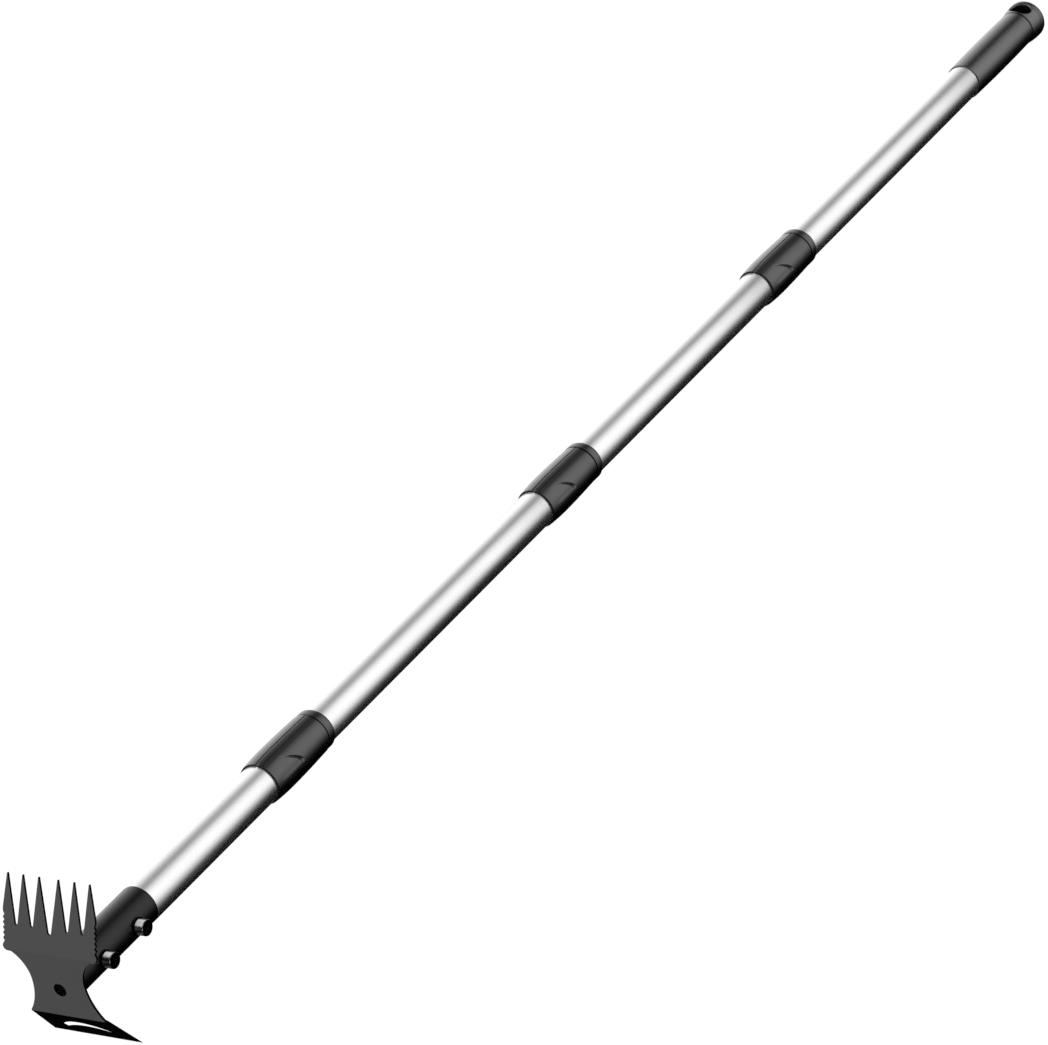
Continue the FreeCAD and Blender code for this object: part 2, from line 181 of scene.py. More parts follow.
def powder_coat():
    """Matt dark grey coating on the blade's faces, slightly warm and faintly mottled."""
    shader = Shader("powder_coat", Specular_IOR_Level=0.12)
    peel = shader.noise(1400.0, 2.0, 0.5)
    cloud = shader.noise(30.0, 3.0, 0.6)
    face = shader.mix(shader.ramp(cloud, 0.0, 1.0), grey(0.0450, 0.03), grey(0.0465, 0.03))
    shader.colour(face)
    shader.roughness(shader.ramp(peel, 0.55, 0.68))
    shader.bump(peel, 0.00004, 0.5)
    return shader.material


def black_steel_and_painted_shade():
    """Near-black steel: blackened on the blade's cut edges, and black on the washers under the screws and on the
    screws' shanks. On the hoe's underside and the screws' ends this black is painted shade."""
    shader = Shader("black_steel_and_painted_shade", Specular_IOR_Level=0.0)
    drag = shader.noise(1100.0, 3.0, 0.6, shader.stretched((1.0, 0.15, 1.0)))
    shader.colour(shader.mix(shader.ramp(drag, 0.0, 1.0), grey(0.0008), grey(0.0020)))
    shader.roughness(shader.ramp(drag, 0.42, 0.6))
    shader.bump(drag, 0.00004, 0.5)
    return shader.material


def satin_black():
    """Sprayed black paint on the socket."""
    shader = Shader("satin_black", Specular_IOR_Level=0.22)
    peel = shader.noise(700.0, 2.0, 0.5)
    shader.colour(shader.mix(shader.ramp(peel, 0.0, 1.0), grey(0.0006), grey(0.0012)))
    shader.roughness(shader.ramp(peel, 0.24, 0.32))
    shader.bump(peel, 0.00003, 0.35)
    return shader.material


def black_oxide():
    """Polished black oxide on the sides of the screw heads, brighter where it is rubbed."""
    shader = Shader("black_oxide", Metallic=1.0)
    mottle = shader.noise(500.0, 3.0, 0.6)
    dull = shader.mix(shader.ramp(mottle, 0.0, 1.0), grey(0.36), grey(0.42))
    rubbed = shader.worn_edges(0.0004, 0.80, 0.97)
    shader.colour(shader.mix(rubbed, dull, grey(0.55)))
    shader.roughness(shader.ramp(mottle, 0.16, 0.26))
    return shader.material


def bare_steel():
    """Drawn steel with no finish."""
    shader = Shader("bare_steel", Metallic=1.0)
    grain = shader.noise(700.0, 3.0, 0.6, shader.stretched((0.05, 1.0, 1.0)))
    shader.colour(shader.mix(grain, grey(0.45), grey(0.6)))
    shader.roughness(shader.ramp(grain, 0.3, 0.45))
    return shader.material


def moulded_plastic(name, low, high, rough, gloss=0.5):
    """Moulded plastic with a fine spark-eroded texture, its grey between low and high."""
    shader = Shader(name, Specular_IOR_Level=gloss)
    spark = shader.noise(1800.0, 3.0, 0.6)
    cloud = shader.noise(25.0, 2.0, 0.5)
    shader.colour(shader.mix(shader.ramp(cloud, 0.0, 1.0), grey(low), grey(high)))
    shader.roughness(shader.ramp(spark, rough - 0.04, rough + 0.06))
    shader.bump(spark, 0.00002, 0.35)
    return shader.material


# washer_plastic is also painted shade: a duller black on the collars' lips and inside the hang hole.
MATERIALS = {
    "blade_steel": powder_coat(),
    "socket_paint": satin_black(),
    "bare_steel": bare_steel(),
    "screw_steel": black_oxide(),
    "tube_metal": satin_tube(),
    "collar_plastic": moulded_plastic("collar_plastic", 0.0006, 0.0012, 0.20, 0.7),
    "thread_plastic": moulded_plastic("thread_plastic", 0.0010, 0.0020, 0.22, 0.65),
    "washer_plastic": moulded_plastic("washer_plastic", 0.0006, 0.0012, 0.45, 0.2),
    "grip_plastic": moulded_plastic("grip_plastic", 0.0010, 0.0018, 0.24, 1.0),
}
# near-black steel; on the hoe's underside and the screws' ends it is painted shade
BLACK_STEEL_AND_SHADE = black_steel_and_painted_shade()

for node_name, node_object in frame["nodes"].items():
    node_object.data.materials.clear()
    node_object.data.materials.append(MATERIALS[SLOT_OF[node_name]])


# ---------------------------------------------------------------- mesh helpers
MERGE_DISTANCE = 0.002               # points closer than this are one point
FLAT_WITHIN = math.radians(0.5)      # CAD triangles that meet at less are one flat face


def rounded(corners, steps=5):
    """A closed outline with its corners filleted. Each corner is (x, radius, fillet)."""
    points = []
    for index, (x, radius, fillet) in enumerate(corners):
        here = Vector((x, radius))
        if not fillet:
            points.append(here)
            continue
        before = (Vector(corners[index - 1][:2]) - here).normalized()
        after = (Vector(corners[(index + 1) % len(corners)][:2]) - here).normalized()
        half = before.angle(after) / 2
        centre = here + (before + after).normalized() * fillet / math.sin(half)
        back = fillet / math.tan(half)
        first = here + before * back - centre
        last = here + after * back - centre
        sweep = first.angle_signed(last)
        for step in range(steps + 1):
            turn = -sweep * step / steps
            cos, sin = math.cos(turn), math.sin(turn)
            points.append(centre + Vector((first.x * cos - first.y * sin,
                                           first.x * sin + first.y * cos)))
    return points


def bow(start, middle, end, count):
    """Points on the arc through three points, without its end."""
    ax, ay = Vector(middle) - Vector(start)
    bx, by = Vector(end) - Vector(start)
    cross = 2 * (ax * by - ay * bx)
    a2, b2 = ax * ax + ay * ay, bx * bx + by * by
    centre = Vector(start) + Vector(((by * a2 - ay * b2) / cross, (ax * b2 - bx * a2) / cross))
    angles = [math.atan2(*reversed(Vector(point) - centre)) for point in (start, middle, end)]
    sweep = (angles[2] - angles[0]) % TAU
    if (angles[1] - angles[0]) % TAU > sweep:
        sweep -= TAU
    radius = (Vector(start) - centre).length
    turns = [angles[0] + sweep * step / count for step in range(count)]
    return [centre + radius * Vector((math.cos(turn), math.sin(turn))) for turn in turns]


def lathe(outline, shape=None, facets=144):
    """A closed outline of (x, radius) points turned about x. shape(x, radius, angle) may give a
    point a new radius, for threads, ripples and grooves."""
    mesh = bmesh.new()
    rings = []
    for index in range(facets):
        angle = TAU * index / facets
        sin, cos = math.sin(angle), math.cos(angle)
        ring = []
        for x, radius in outline:
            if shape:
                radius = shape(x, radius, angle)
            ring.append(mesh.verts.new((x, -radius * sin, radius * cos)))
        rings.append(ring)
    for ring, following in zip(rings, rings[1:] + rings[:1]):
        for index in range(len(outline)):
            corners = (ring[index - 1], ring[index], following[index], following[index - 1])
            mesh.faces.new(corners)
    if min(radius for _, radius in outline) < 1e-6:
        bmesh.ops.remove_doubles(mesh, verts=mesh.verts, dist=1e-5)
    return mesh


def cad_mesh(node):
    """A CAD node's mesh in the pole's axes, with its triangles joined into flat faces."""
    mesh = bmesh.new()
    mesh.from_mesh(frame["nodes"][node].data)
    mesh.transform(FROM_WORLD)
    bmesh.ops.remove_doubles(mesh, verts=mesh.verts, dist=MERGE_DISTANCE)
    bmesh.ops.dissolve_limit(mesh, angle_limit=FLAT_WITHIN, verts=mesh.verts, edges=mesh.edges)
    return mesh


def bevel(mesh, edges, offset, segments):
    """Round edges of a mesh off."""
    bmesh.ops.bevel(mesh, geom=edges, offset=offset, segments=segments, profile=0.5,
                    affect="EDGES", clamp_overlap=True)


def carve(mesh, *cutters):
    """A mesh with the cutters taken away from it."""
    def as_object(shape):
        data = bpy.data.meshes.new("carving")
        bmesh.ops.recalc_face_normals(shape, faces=shape.faces)
        shape.to_mesh(data)
        shape.free()
        made = bpy.data.objects.new("carving", data)
        bpy.context.scene.collection.objects.link(made)
        return made

    blank = as_object(mesh)
    tools = [as_object(cutter) for cutter in cutters]
    for tool in tools:
        change = blank.modifiers.new("carve", "BOOLEAN")
        change.object = tool
        change.solver = "EXACT"
    carved = bmesh.new()
    carved.from_object(blank, bpy.context.evaluated_depsgraph_get())
    bmesh.ops.dissolve_degenerate(carved, dist=MERGE_DISTANCE, edges=carved.edges)
    for thing in [blank] + tools:
        data = thing.data
        bpy.data.objects.remove(thing)
        bpy.data.meshes.remove(data)
    return carved


def add_piece(mesh, node, crease=32.0, extra=None, material=None, flat_over=None):
    """Put a mesh drawn along the pole in the frame as the piece that stands for a CAD node.

    Edges of more than crease degrees stay sharp, and faces larger than flat_over, in square
    millimetres, are shaded flat. extra is the material of the faces with material index 1.
    """
    bmesh.ops.recalc_face_normals(mesh, faces=mesh.faces)
    mesh.transform(POLE)
    data = bpy.data.meshes.new(f"{node}_detail")
    mesh.to_mesh(data)
    mesh.free()
    data.materials.append(material or MATERIALS[SLOT_OF[node]])
    if extra:
        data.materials.append(extra)
    data.shade_smooth()
    data.set_sharp_from_angle(angle=math.radians(crease))
    for face in data.polygons:
        face.use_smooth = flat_over is None or face.area < flat_over * MM * MM
    piece = bpy.data.objects.new(f"{node}_detail", data)
    bpy.context.scene.collection.objects.link(piece)
    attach(piece, BODY_OF[node])
    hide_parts(node)
    return piece


def smooth(value, low, high):
    """0 below low, 1 above high, and a soft step between them."""
    part = min(max((value - low) / (high - low), 0.0), 1.0)
    return part * part * (3 - 2 * part)


def spread(start, end, count):
    """Numbers from start to end in count equal steps."""
    return [start + (end - start) * step / count for step in range(count + 1)]


def thread(start, end, pitch, height):
    """A shape for lathe(): a right-hand thread cut into radii between start and end."""
    def shape(x, radius, angle):
        phase = ((x - start) / pitch - angle / TAU) % 1.0
        flank = smooth(abs(phase - 0.5) * 2, 0.25, 0.75)
        runout = smooth(x, start, start + pitch) * smooth(-x, -end, -end + pitch)
        return radius - height * flank * runout
    return shape


# ---------------------------------------------------------------- blade
# Where the sheet is folded, as heights on the neck's plane, and how far each part leans back.
RAKE_BEND, RAKE_LEAN = 26.4, math.radians(22.5)
HOE_BEND, HOE_LEAN = 27.0, math.radians(35.3)
RAKE_FOLD, HOE_FOLD = 2.4, 0.8       # half widths of the rounded folds
BROKEN_EDGE = 0.14


def make_blade():
    """The pressed blade with rounded folds, broken edges and blackened cut faces, and painted shade on the hoe's
    underside.
    """
    mesh = cad_mesh("rake_hoe_blade")

    def folds(level):
        """Edges that run level across the blade at a fold."""
        found = []
        for edge in mesh.edges:
            ends = [vertex.co for vertex in edge.verts]
            is_wide = abs(ends[0].y - ends[1].y) > 2
            is_level = all(abs(end.z - level) < 1.5 for end in ends)
            angle = edge.calc_face_angle(0)
            if is_level and is_wide and math.radians(15) < angle < math.radians(45):
                found.append(edge)
        return found

    bevel(mesh, folds(RAKE_BEND), RAKE_FOLD, 6)
    bevel(mesh, folds(-HOE_BEND), HOE_FOLD, 4)
    sheared = [edge for edge in mesh.edges if edge.calc_face_angle(0) > math.radians(50)]
    bevel(mesh, sheared, BROKEN_EDGE, 2)
    mesh.normal_update()
    neck_front = Vector((-1, 0, 0))
    rake_front = Vector((-math.cos(RAKE_LEAN), 0, math.sin(RAKE_LEAN)))
    hoe_front = Vector((-math.cos(HOE_LEAN), 0, -math.sin(HOE_LEAN)))
    for face in mesh.faces:
        height = face.calc_center_median().z
        front = neck_front
        if height > RAKE_BEND:
            front = rake_front
        elif height < -HOE_BEND:
            front = hoe_front
        facing = face.normal.dot(front)
        # the hoe's underside takes the near-black material as painted shade
        is_painted_shade_underside = height < -HOE_BEND - 0.3 and facing > 0
        is_cut = abs(facing) < 0.8
        face.material_index = int(is_painted_shade_underside or is_cut)
    add_piece(mesh, "rake_hoe_blade", crease=24.0, extra=BLACK_STEEL_AND_SHADE, flat_over=12.0)


# ---------------------------------------------------------------- socket
SOCKET_WALL, SOCKET_RIM = 1.5, 1.4          # the rim is rounded off nearly through the wall
SCREWS = {"lower": 38.0, "upper": 80.6}     # the clamp screws' places along the pole
HOLE_RADIUS, HOLE_FROM, HOLE_TO = 4.4, 8.0, 20.0     # a hole's cutter runs through the wall
# A clamp screw, as distances from the pole's axis, then radii.
SCREW_TIP, SCREW_SEAT, SCREW_TOP = 9.0, 17.2, 25.2
SHANK_RADIUS, HEAD_RADIUS = 4.0, 6.4
SCREW_PITCH, SCREW_THREAD = 1.25, 0.6
KNURLS, KNURL_DEPTH = 48, 0.04
KEY_RADIUS, KEY_MOUTH, KEY_DEPTH, KEY_FLOOR = 3.46, 3.9, 4.0, 5.2
WELD_RIPPLES, RIPPLE_DEPTH = 46, 0.30


def across(x):
    """The turn that takes a shape drawn along x to a clamp screw's place and direction."""
    return Matrix.Translation((x, 0, 0)) @ Matrix.Rotation(-math.pi / 2, 4, "Z")


def make_socket():
    """The socket tube with a rounded rim and two clearance holes for the clamp screws."""
    start, end, _, outer = measure("handle_socket")
    inner = outer - SOCKET_WALL
    bore = lathe(rounded([(start, inner, 0), (end, inner, 0), (end, outer, SOCKET_RIM),
                          (start, outer, 0)]))
    holes = []
    facets = 48
    for x in SCREWS.values():
        hole = lathe([(HOLE_FROM, 0), (HOLE_TO, 0), (HOLE_TO, HOLE_RADIUS),
                      (HOLE_FROM, HOLE_RADIUS)], facets=facets)
        # half a facet's turn keeps the hole's corners off the socket's own edges
        hole.transform(across(x) @ Matrix.Rotation(TAU / facets / 2, 4, "X"))
        holes.append(hole)
    add_piece(carve(bore, *holes), "handle_socket")


def make_weld():
    """A fillet weld laid in short overlapping ripples."""
    start, end, inner, outer = measure("socket_weld")
    leg = end - start
    hollow = leg * 0.42
    outline = [Vector((start, inner))]
    outline += bow((end, inner), (start + hollow, inner + hollow), (start, outer), 14)
    outline.append(Vector((start, outer)))

    def ripple(x, radius, angle):
        if radius < inner + 0.05:
            return radius
        bulge = math.sin((radius - inner) / leg * math.pi)
        wave = ((angle / TAU) * WELD_RIPPLES + 0.5 * bulge) % 1.0
        swell = 0.10 * math.sin(angle * 5 + 1.0) + 0.07 * math.sin(angle * 13 + 0.4)
        return radius - 0.02 - RIPPLE_DEPTH * wave * bulge + swell * bulge

    add_piece(lathe(outline, ripple, 460), "socket_weld", crease=50.0)


def hexagon_key():
    """A cutter for a screw's recess: a hexagon with a flared mouth and a drilled, conical end."""
    key = bmesh.new()
    sections = ((SCREW_TOP + 1, 4.6), (SCREW_TOP, KEY_MOUTH), (SCREW_TOP - 0.45, KEY_RADIUS),
                (SCREW_TOP - KEY_DEPTH, KEY_RADIUS))
    rings = []
    for along, radius in sections:
        ring = []
        for i in range(6):
            turn = TAU * i / 6
            corner = (along, radius * math.cos(turn), radius * math.sin(turn))
            ring.append(key.verts.new(corner))
        rings.append(ring)
    for ring, following in zip(rings, rings[1:]):
        for i in range(6):
            key.faces.new((ring[i - 1], ring[i], following[i], following[i - 1]))
    floor = key.verts.new((SCREW_TOP - KEY_FLOOR, 0, 0))
    for i in range(6):
        key.faces.new((rings[-1][i - 1], rings[-1][i], floor))
    key.faces.new(rings[0])
    return key


def make_screw(name, x):
    """A socket-head cap screw with a knurled head, a hexagon recess and a threaded shank. Its end and recess are
    black as painted shade.
    """
    knurl_start, knurl_end = SCREW_SEAT + 1.0, SCREW_TOP - 1.4
    rows = 60
    step = (SCREW_SEAT - SCREW_TIP - 1.2) / rows
    outline = [(SCREW_TIP, 0), (SCREW_TIP, SHANK_RADIUS - 0.7)]
    outline += [(SCREW_TIP + 0.7 + step * row, SHANK_RADIUS) for row in range(rows + 1)]
    outline += [(SCREW_SEAT, SHANK_RADIUS), (SCREW_SEAT, HEAD_RADIUS - 0.35)]
    outline += [(SCREW_SEAT + inward, HEAD_RADIUS) for inward in (0.35, 0.9, 1.1)]
    outline += [(SCREW_TOP - 1.5, HEAD_RADIUS), (SCREW_TOP - 1.2, HEAD_RADIUS)]
    outline += [(SCREW_TOP - 0.8, HEAD_RADIUS - 0.02), (SCREW_TOP - 0.3, HEAD_RADIUS - 0.25)]
    outline += [(SCREW_TOP, HEAD_RADIUS - 0.8), (SCREW_TOP, 0)]
    cut = thread(SCREW_TIP + 0.2, SCREW_SEAT - 0.4, SCREW_PITCH, SCREW_THREAD)

    def shape(along, radius, angle):
        if radius == SHANK_RADIUS and along < SCREW_SEAT - 0.3:
            return cut(along, radius, angle)
        if knurl_start < along < knurl_end:
            return radius - KNURL_DEPTH * abs((angle / TAU * KNURLS) % 1.0 - 0.5) * 2
        return radius

    screw = carve(lathe(outline, shape, 192), hexagon_key())
    screw.normal_update()
    for face in screw.faces:
        # the head's end and its recess go near-black: painted shade
        is_end = abs(face.normal.x) > 0.6
        is_shank = face.calc_center_median().x < SCREW_SEAT
        face.material_index = int(is_end or is_shank)
    screw.transform(across(x))
    add_piece(screw, f"clamp_bolt_{name}", crease=28.0, extra=BLACK_STEEL_AND_SHADE)


def make_saddle(name):
    """A saddle washer with its edges broken."""
    node = f"saddle_washer_{name}"
    mesh = cad_mesh(node)
    sharp = [edge for edge in mesh.edges if edge.calc_face_angle(0) > math.radians(40)]
    bevel(mesh, sharp, 0.3, 2)
    add_piece(mesh, node, material=BLACK_STEEL_AND_SHADE)


# ---------------------------------------------------------------- pole
def make_tube(node):
    """A drawn tube with deburred ends."""
    start, end, inner, outer = measure(node)
    add_piece(lathe(rounded([(start, inner, 0.3), (end, inner, 0.3), (end, outer, 0.4),
                             (start, outer, 0.4)], 3)), node)


# A collar's skin, as heights above the lower tube and places along it from the lip.
LIP, BELLY, TAIL, BOW = 1.5, 2.5, 1.4, 0.68
BROW_AT, BELLY_AT, FLANK_AT = 10.0, 27.0, 53.0
# The bush starts inside the lower tube and widens at the collar's seat.
BUSH_AT, COLLAR_SEAT, BUSH_RADIUS = 25.0, 47.0, 15.55
CLEARANCE = 0.05
# On each side a groove sweeps back from the lip and fades out. The skin inside it is lower.
SWEEP, SWEEP_POWER = 35.0, 1.35
GROOVE_DEPTH, GROOVE_HALF = 1.0, 1.1
GROOVE_IN, GROOVE_OUT = (0.55, 1.0), (1.30, 1.52)     # the turns over which it deepens and fades
STEP = 0.45
# The mould's parting line. The skin on one side of it stands up and falls away around the collar.
PARTING_TURN = math.radians(3)
PARTING_DEPTH, PARTING_HALF = 0.45, 1.0
PARTING_STEP, PARTING_REACH = 0.55, math.radians(24)
# The gate's recess at the lip, beside the parting line.
GATE_DEPTH, GATE_LENGTH = 1.0, 2.2
# The threads inside a coupling.
COUPLING_PITCH = 4.0
BUSH_THREAD, PLUG_THREAD = 1.0, 1.1
THREAD_ROWS = 130
# A threaded plug: its thread's length, the shoulder ring's, and its radii.
PLUG_REACH, RING_LENGTH = 28.0, 8.5
PLUG_RADIUS, PLUG_SHANK, PLUG_SKIRT = 12.0, 14.75, 16.05


def tube_below(number):
    """The measures of the tube that a coupling's collar is glued on."""
    return measure("lower_tube" if number == 1 else f"tube_{number}")


def make_collar(number):
    """A collar with a swept groove on each side and a mould parting line above and below. Its lip face is duller
    as painted shade.
    """
    node = f"collar_{number}"
    start, end, _, _ = measure(node)
    bore = tube_below(number)[3]
    lip, belly, tail = bore + LIP, bore + BELLY, bore + TAIL
    seat, middle = start + COLLAR_SEAT, start + BELLY_AT
    skin = bow((start, lip), (start + BROW_AT, lip + BOW), (middle, belly), 70)
    skin += bow((middle, belly), (start + FLANK_AT, tail + BOW), (end, tail), 60)
    outline = [(start + 0.15, bore + CLEARANCE), (start, bore + 0.2), (start, lip - 0.15)]
    outline += [(start + 0.05, lip - 0.03)] + skin[1:]
    outline += [(end - 0.5, tail), (end - 0.15, tail - 0.15), (end, tail - 0.5)]
    outline += [(end, BUSH_RADIUS + 0.3), (end - 0.3, BUSH_RADIUS), (seat, BUSH_RADIUS)]
    outline += [(seat, bore + CLEARANCE)]
    outside = lip - 0.4

    def shape(x, radius, angle):
        if radius < outside or x > end - 0.6:
            return radius
        turn = angle % math.pi
        # how far the point is from the sweep, square to its curve
        side = abs(math.sin(angle))
        away = x - start - SWEEP * side ** SWEEP_POWER
        slope = SWEEP * SWEEP_POWER * side ** (SWEEP_POWER - 1) * abs(math.cos(angle)) / radius
        away /= math.hypot(1.0, slope)
        # the groove and the lower skin inside it
        strength = smooth(turn, *GROOVE_IN) * (1 - smooth(turn, *GROOVE_OUT))
        half = GROOVE_HALF * (0.7 + 0.6 * smooth(turn, 0.7, 1.4))
        inside = STEP * strength * (1 - smooth(away, -half, half))
        inside *= smooth(x, start + 1.0, start + 14.0)
        deep = GROOVE_DEPTH * (0.8 + 0.55 * smooth(turn, 0.7, 1.3))
        groove = deep * strength * max(0.0, 1 - abs(away) / half)
        # the parting line, the raised skin beside it, and the gate
        beside = (turn - PARTING_TURN) % math.pi
        nearest = min(beside, math.pi - beside) * radius
        parting = PARTING_DEPTH * max(0.0, 1 - nearest / PARTING_HALF)
        near = max(0.0, 1 - beside / PARTING_REACH)
        gate = GATE_DEPTH * (1 - smooth(x, start + GATE_LENGTH - 0.8, start + GATE_LENGTH))
        gate *= smooth(near, 0.70, 0.80)
        raised = PARTING_STEP * near * smooth(beside * radius, 0.0, 0.8)
        radius += raised * smooth(x, start, start + 4)
        return max(radius - max(inside + groove, parting, gate), bore + 0.1)

    mesh = lathe(outline, shape, 360)
    for face in mesh.faces:
        # the lip face takes the duller black as painted shade
        is_lip_painted_shade = face.calc_center_median().x < start + 0.1
        face.material_index = int(is_lip_painted_shade)
    add_piece(mesh, node, crease=40.0, extra=MATERIALS["washer_plastic"])


def make_bush(number):
    """The threaded bush in a collar."""
    node = f"thread_bush_{number}"
    start, end, bore, outer = measure(node)
    spigot = tube_below(number)[2] - CLEARANCE
    seat = start - BUSH_AT + COLLAR_SEAT + CLEARANCE
    root = bore + BUSH_THREAD
    outline = [(start, bore + 0.3), (start + 0.3, bore)]
    outline += [(x, root) for x in spread(start + 0.6, end - 0.6, THREAD_ROWS)]
    outline += [(end - 0.3, bore), (end, bore + 0.3), (end, outer - 0.3), (end - 0.3, outer)]
    outline += [(seat, outer), (seat, spigot), (start + 0.3, spigot), (start, spigot - 0.3)]
    cut = thread(start + 0.3, end - 0.3, COUPLING_PITCH, BUSH_THREAD)

    def shape(x, radius, angle):
        return cut(x, radius, angle) if abs(radius - root) < 1e-6 else radius

    add_piece(lathe(outline, shape, 96), node)


def make_washer(number):
    """The washer between a collar and the shoulder ring, a little smaller than both."""
    node = f"thread_washer_{number}"
    start, end, bore, outer = measure(node)
    rim = outer - 1.0
    add_piece(lathe(rounded([(start, bore, 0.15), (end, bore, 0.15), (end, rim, 0.3),
                             (start, rim, 0.3)])), node)


def make_plug(number):
    """The threaded plug of the tube above, with its shoulder ring."""
    node = f"thread_plug_{number}"
    start, end, bore, outer = measure(node)
    ring = start + PLUG_REACH
    top = ring + RING_LENGTH
    neck = PLUG_RADIUS - 0.8
    corners = [(start, bore + 0.3, 0), (start, neck - 0.5, 0), (start + 0.5, neck, 0)]
    corners += [(x, PLUG_RADIUS, 0) for x in spread(start + 0.8, ring - 1.0, THREAD_ROWS)]
    corners += [(ring - 0.6, neck, 0), (ring, neck, 0), (ring, outer, 0.5)]
    corners += [(top - 2.1, outer, 0.8), (top, PLUG_SKIRT + 0.5, 0.3), (top, PLUG_SKIRT, 0)]
    corners += [(ring + 3.5, PLUG_SKIRT, 0), (ring + 3.5, PLUG_SHANK, 0)]
    corners += [(end - 0.8, PLUG_SHANK, 0), (end, PLUG_SHANK - 0.8, 0), (end, bore + 0.3, 0)]
    corners += [(end - 0.3, bore, 0), (start + 0.3, bore, 0)]
    cut = thread(start, ring - 0.6, COUPLING_PITCH, PLUG_THREAD)

    def shape(x, radius, angle):
        return cut(x, radius, angle) if abs(radius - PLUG_RADIUS) < 1e-4 else radius

    add_piece(lathe(rounded(corners), shape, 144), node, crease=30.0)


# The grip's skin: its radii at the mouth, the middle and the neck that it shares with the cap.
GRIP_MOUTH, GRIP_MIDDLE, GRIP_NECK = 17.0, 17.65, 17.15
SEAM_HALF = 0.6           # half the gap between the sleeve and the cap
# The end cap: its plug, how far its shoulder is from the end, and its end face's radius.
CAP_PLUG, CAP_PLUG_LENGTH = 14.75, 20.0
CAP_SHOULDER, CAP_FACE = 5.0, 15.2
RING_REACH, RING_WIDTH, RING_DEPTH = 4.5, 1.25, 0.16
# The hang hole's radius, and its half width on the pole's left, where it is drawn out.
HANG_HOLE, HANG_HOLE_SIDE = 8.1, 12.4
HANG_HOLE_AT, HANG_HOLE_TURN = 1603.0, math.radians(14.8)
ROLL_START, ROLL_END, ROLL = 15.6, 17.9, 0.8     # the edge rolls outwards between two depths


def make_grip():
    """The grip's sleeve, swelling a little in the middle, with a rolled mouth."""
    start, seam, bore, _ = measure("grip_sleeve")
    skin = bow((start, GRIP_MOUTH), (start + 60, GRIP_MIDDLE), (seam, GRIP_NECK), 60)
    outline = [(start + 0.4, bore), (start + 0.1, bore + 0.15), (start, bore + 0.4)]
    outline += [(start + 0.15, GRIP_MOUTH - 0.12), (start + 0.5, GRIP_MOUTH + 0.02)] + skin[1:]
    outline += [(seam - SEAM_HALF - 0.3, GRIP_NECK), (seam - SEAM_HALF, GRIP_NECK - 0.2)]
    outline += [(seam - SEAM_HALF, bore)]
    add_piece(lathe(outline), "grip_sleeve")


def hang_hole_cutter(rim):
    """A cutter for the hang hole. Its sections follow circles about the pole, so that the edge
    can roll outwards evenly all round."""
    cutter = bmesh.new()
    loops = []
    facets = 96
    reach = rim + 1.5
    for level in spread(-reach, reach, 96):
        if abs(level) <= HANG_HOLE_SIDE + ROLL + 0.2:
            continue
        into_roll = min(max((abs(level) - ROLL_START) / (ROLL_END - ROLL_START), 0.0), 1.0)
        flare = ROLL * (1 - math.sqrt(1 - into_roll ** 2))
        is_end = abs(level) > reach - 0.01
        loop = []
        for i in range(facets):
            turn = TAU * i / facets
            along = (HANG_HOLE + flare) * math.cos(turn)
            side = HANG_HOLE_SIDE if turn < math.pi else HANG_HOLE
            sideways = (side + flare) * math.sin(turn)
            height = level
            if not is_end:
                height = math.copysign(math.sqrt(level * level - sideways * sideways), level)
            loop.append(cutter.verts.new((along, sideways, height)))
        loops.append(loop)
    for loop, following in zip(loops, loops[1:]):
        for i in range(facets):
            cutter.faces.new((loop[i - 1], loop[i], following[i], following[i - 1]))
    cutter.faces.new(loops[0])
    cutter.faces.new(loops[-1])
    turned = Matrix.Rotation(HANG_HOLE_TURN, 4, "X")
    cutter.transform(Matrix.Translation((HANG_HOLE_AT, 0, 0)) @ turned)
    return cutter


def make_cap():
    """The end cap, with fine rings before its rim and a hang hole with rolled edges, its inside darker and duller
    as painted shade.
    """
    start, end, _, rim = measure("grip_end_cap")
    seam, shoulder = start + CAP_PLUG_LENGTH, end - CAP_SHOULDER
    skin = bow((seam, GRIP_NECK), (seam + 9, rim - 0.45), (shoulder, rim), 60)
    outline = [(start, 0), (start, CAP_PLUG - 0.8), (start + 0.8, CAP_PLUG), (seam, CAP_PLUG)]
    outline += [(seam + SEAM_HALF, CAP_PLUG), (seam + SEAM_HALF, GRIP_NECK - 0.2)]
    outline += [(seam + SEAM_HALF + 0.3, GRIP_NECK + 0.03)] + skin[1:]
    outline += bow((shoulder, rim), (end - 1.89, rim - 1.03), (end, CAP_FACE), 14)
    outline += [(end, CAP_FACE), (end, CAP_FACE - 1.2), (end - 0.5, CAP_FACE - 1.8), (end - 0.5, 0)]

    def rings(x, radius, angle):
        if radius < GRIP_NECK or not shoulder - RING_REACH < x < shoulder + 0.5:
            return radius
        wave = 0.5 - 0.5 * math.cos(TAU * (x - shoulder + RING_REACH) / RING_WIDTH)
        return radius - RING_DEPTH * wave

    mesh = carve(lathe(outline, rings, 180), hang_hole_cutter(rim))
    for face in mesh.faces:
        centre = face.calc_center_median()
        is_deep = math.hypot(centre.y, centre.z) < GRIP_NECK - 1
        # the hole's inside takes the darker, duller black as painted shade
        is_hole_painted_shade = is_deep and seam + 1 < centre.x < end - 1
        face.material_index = int(is_hole_painted_shade)
    add_piece(mesh, "grip_end_cap", extra=MATERIALS["washer_plastic"])


make_blade()
make_socket()
make_weld()
for screw_name, screw_at in SCREWS.items():
    make_screw(screw_name, screw_at)
    make_saddle(screw_name)
for tube_node in ("lower_tube", "tube_2", "tube_3", "upper_tube"):
    make_tube(tube_node)
for coupling in (1, 2, 3):
    make_collar(coupling)
    make_bush(coupling)
    make_washer(coupling)
    make_plug(coupling)
make_grip()
make_cap()


